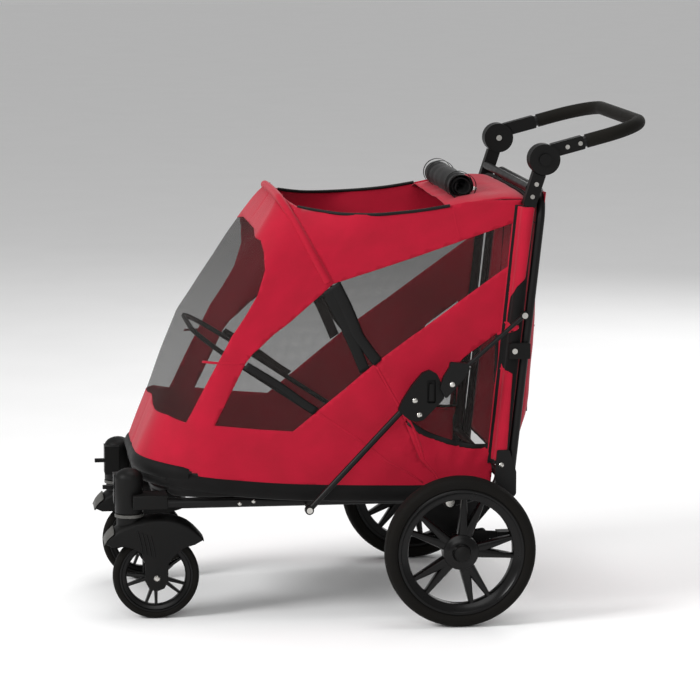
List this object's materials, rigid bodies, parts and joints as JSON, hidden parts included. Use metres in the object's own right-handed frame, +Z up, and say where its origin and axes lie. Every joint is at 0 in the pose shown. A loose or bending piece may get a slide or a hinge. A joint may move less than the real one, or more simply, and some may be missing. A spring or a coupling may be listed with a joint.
{
  "type": "pet stroller",
  "caption": "Folding pet stroller: fabric cabin with mesh windows, swivelling front casters, fixed rear wheels, folding posts, tilting push handle and rear gate.",
  "frame": {"origin": "on the floor, under the middle of the whole stroller", "axes": "+Z up, -Y to the stroller's front, +X to its left"},
  "size_m": [0.7532, 1.101, 1.0103],
  "materials": {
    "frame_paint": "satin black powder coat",
    "steel": "zinc-plated, round heads",
    "moulded_plastic": "fine-grained black nylon",
    "rim_plastic": "glossy black moulding",
    "tyre": "matt black foam rubber",
    "grip_foam": "dense black foam",
    "red_fabric": "red polyester canvas",
    "black_fabric": "black polyester canvas and mesh"
  },
  "bodies": {
    "chassis": {"rail_left": "frame_paint", "rail_right": "frame_paint", "front_crossbar": "frame_paint", "rear_axle": "steel", "axle_tube": "frame_paint", "axle_brackets": "frame_paint", "caster_mount_left": "moulded_plastic", "caster_mount_right": "moulded_plastic", "chassis_pins": "steel", "brake_blocks": "moulded_plastic", "tray_band": "black_fabric", "floor_board": "moulded_plastic", "floor_pad": "black_fabric", "cover_front": "red_fabric", "cover_left": "red_fabric", "cover_right": "red_fabric", "cover_roof": "red_fabric", "mesh_roll": "black_fabric", "swivel_locks": "moulded_plastic"},
    "post_frame": {"post_left": "frame_paint", "post_right": "frame_paint", "post_crossbars": "frame_paint", "post_feet": "frame_paint", "hub_lower_left": "moulded_plastic", "hub_lower_right": "moulded_plastic", "post_rivets": "steel"},
    "handle": {"handle_tube": "frame_paint", "handle_grip": "grip_foam", "hub_upper_left": "moulded_plastic", "hub_upper_right": "moulded_plastic", "handle_rivets": "steel"},
    "top_bow": {"top_bow": "frame_paint"},
    "front_bow": {"front_bow": "frame_paint"},
    "gate": {"gate_hoop": "frame_paint", "gate_panel": "red_fabric"},
    "strut_lower_left": {"strut_lower_left": "frame_paint", "latch_housing_left": "moulded_plastic"},
    "strut_upper_left": {"strut_upper_left": "frame_paint"},
    "latch_trigger_left": {"latch_trigger_left": "moulded_plastic"},
    "button_left": {"handle_button_left": "moulded_plastic"},
    "clip_left": {"gate_clip_left": "moulded_plastic"},
    "caster_left": {"fork_left": "moulded_plastic"},
    "front_wheel_left": {"front_tyre_left": "tyre", "front_rim_left": "rim_plastic"},
    "rear_wheel_left": {"rear_tyre_left": "tyre", "rear_rim_left": "rim_plastic"},
    "brake_left": {"brake_pedal_left": "moulded_plastic"},
    "strut_lower_right": {"strut_lower_right": "frame_paint", "latch_housing_right": "moulded_plastic"},
    "strut_upper_right": {"strut_upper_right": "frame_paint"},
    "latch_trigger_right": {"latch_trigger_right": "moulded_plastic"},
    "button_right": {"handle_button_right": "moulded_plastic"},
    "clip_right": {"gate_clip_right": "moulded_plastic"},
    "caster_right": {"fork_right": "moulded_plastic"},
    "front_wheel_right": {"front_tyre_right": "tyre", "front_rim_right": "rim_plastic"},
    "rear_wheel_right": {"rear_tyre_right": "tyre", "rear_rim_right": "rim_plastic"},
    "brake_right": {"brake_pedal_right": "moulded_plastic"}
  },
  "joints": [
    {"name": "frame_fold", "type": "hinge", "parent": "chassis", "child": "post_frame", "pos_m": [0, 0.141, 0.24], "axis": [1, 0, 0], "range_deg": [0, 90], "deforming": ["cover_front", "cover_left", "cover_right", "cover_roof", "mesh_roll"]},
    {"name": "top_bow_fold", "type": "hinge", "parent": "chassis", "child": "top_bow", "pos_m": [0, 0.141, 0.24], "axis": [1, 0, 0], "range_deg": [0, 50]},
    {"name": "front_bow_fold", "type": "hinge", "parent": "chassis", "child": "front_bow", "pos_m": [0, 0.141, 0.24], "axis": [1, 0, 0], "range_deg": [0, 26.15]},
    {"name": "handle_tilt", "type": "hinge", "parent": "post_frame", "child": "handle", "pos_m": [0, 0.328, 0.929], "axis": [1, 0, 0], "range_deg": [-60, 90]},
    {"name": "gate_swing", "type": "hinge", "parent": "post_frame", "child": "gate", "pos_m": [0, 0.262, 0.262], "axis": [1, 0, 0], "range_deg": [-100, 0]},
    {"name": "strut_lower_fold_left", "type": "hinge", "parent": "chassis", "child": "strut_lower_left", "pos_m": [0.29, -0.145, 0.233], "axis": [1, 0, 0], "range_deg": [0, 80.86]},
    {"name": "strut_upper_fold_left", "type": "hinge", "parent": "post_frame", "child": "strut_upper_left", "pos_m": [0.3031, 0.286, 0.62], "axis": [1, 0, 0], "range_deg": [-191.73, 0]},
    {"name": "latch_trigger_press_left", "type": "hinge", "parent": "strut_lower_left", "child": "latch_trigger_left", "pos_m": [0.293, 0.1, 0.454], "axis": [1, 0, 0], "range_deg": [0, 8], "stiffness_Nm_per_rad": 0.3},
    {"name": "handle_button_press_left", "type": "slide", "parent": "handle", "child": "button_left", "axis": [-1, 0, 0], "range_m": [0, 0.004], "stiffness_N_per_m": 600},
    {"name": "gate_clip_turn_left", "type": "hinge", "parent": "post_frame", "child": "clip_left", "pos_m": [0.286, 0.26908, 0.546], "axis": [1, 0, 0], "range_deg": [0, 90]},
    {"name": "caster_swivel_left", "type": "hinge", "parent": "chassis", "child": "caster_left", "pos_m": [0.19, -0.499, 0.25], "axis": [0, 0, 1], "continuous": true},
    {"name": "front_wheel_spin_left", "type": "hinge", "parent": "caster_left", "child": "front_wheel_left", "pos_m": [0.19, -0.446, 0.0875], "axis": [1, 0, 0], "continuous": true},
    {"name": "rear_wheel_spin_left", "type": "hinge", "parent": "chassis", "child": "rear_wheel_left", "pos_m": [0.342, 0.152, 0.1525], "axis": [1, 0, 0], "continuous": true},
    {"name": "brake_pedal_press_left", "type": "hinge", "parent": "chassis", "child": "brake_left", "pos_m": [0.299, 0.204, 0.176], "axis": [1, 0, 0], "range_deg": [-20, 0]},
    {"name": "strut_lower_fold_right", "type": "hinge", "parent": "chassis", "child": "strut_lower_right", "pos_m": [-0.29, -0.145, 0.233], "axis": [1, 0, 0], "range_deg": [0, 80.86]},
    {"name": "strut_upper_fold_right", "type": "hinge", "parent": "post_frame", "child": "strut_upper_right", "pos_m": [-0.3031, 0.286, 0.62], "axis": [1, 0, 0], "range_deg": [-191.73, 0]},
    {"name": "latch_trigger_press_right", "type": "hinge", "parent": "strut_lower_right", "child": "latch_trigger_right", "pos_m": [-0.293, 0.1, 0.454], "axis": [1, 0, 0], "range_deg": [0, 8], "stiffness_Nm_per_rad": 0.3},
    {"name": "handle_button_press_right", "type": "slide", "parent": "handle", "child": "button_right", "axis": [1, 0, 0], "range_m": [0, 0.004], "stiffness_N_per_m": 600},
    {"name": "gate_clip_turn_right", "type": "hinge", "parent": "post_frame", "child": "clip_right", "pos_m": [-0.286, 0.26908, 0.546], "axis": [1, 0, 0], "range_deg": [0, 90]},
    {"name": "caster_swivel_right", "type": "hinge", "parent": "chassis", "child": "caster_right", "pos_m": [-0.19, -0.499, 0.25], "axis": [0, 0, 1], "continuous": true},
    {"name": "front_wheel_spin_right", "type": "hinge", "parent": "caster_right", "child": "front_wheel_right", "pos_m": [-0.19, -0.446, 0.0875], "axis": [1, 0, 0], "continuous": true},
    {"name": "rear_wheel_spin_right", "type": "hinge", "parent": "chassis", "child": "rear_wheel_right", "pos_m": [-0.342, 0.152, 0.1525], "axis": [1, 0, 0], "continuous": true},
    {"name": "brake_pedal_press_right", "type": "hinge", "parent": "chassis", "child": "brake_right", "pos_m": [-0.299, 0.204, 0.176], "axis": [1, 0, 0], "range_deg": [-20, 0]}
  ],
  "couplings": [
    {"joint": "top_bow_fold", "follows": "frame_fold", "ratio": 0.55},
    {"joint": "front_bow_fold", "follows": "frame_fold", "ratio": 0.285},
    {"joint": "strut_lower_fold_left", "follows": "frame_fold", "ratio": 0.8929},
    {"joint": "strut_upper_fold_left", "follows": "frame_fold", "ratio": -2.1248},
    {"joint": "strut_lower_fold_right", "follows": "frame_fold", "ratio": 0.8929},
    {"joint": "strut_upper_fold_right", "follows": "frame_fold", "ratio": -2.1248}
  ]
}
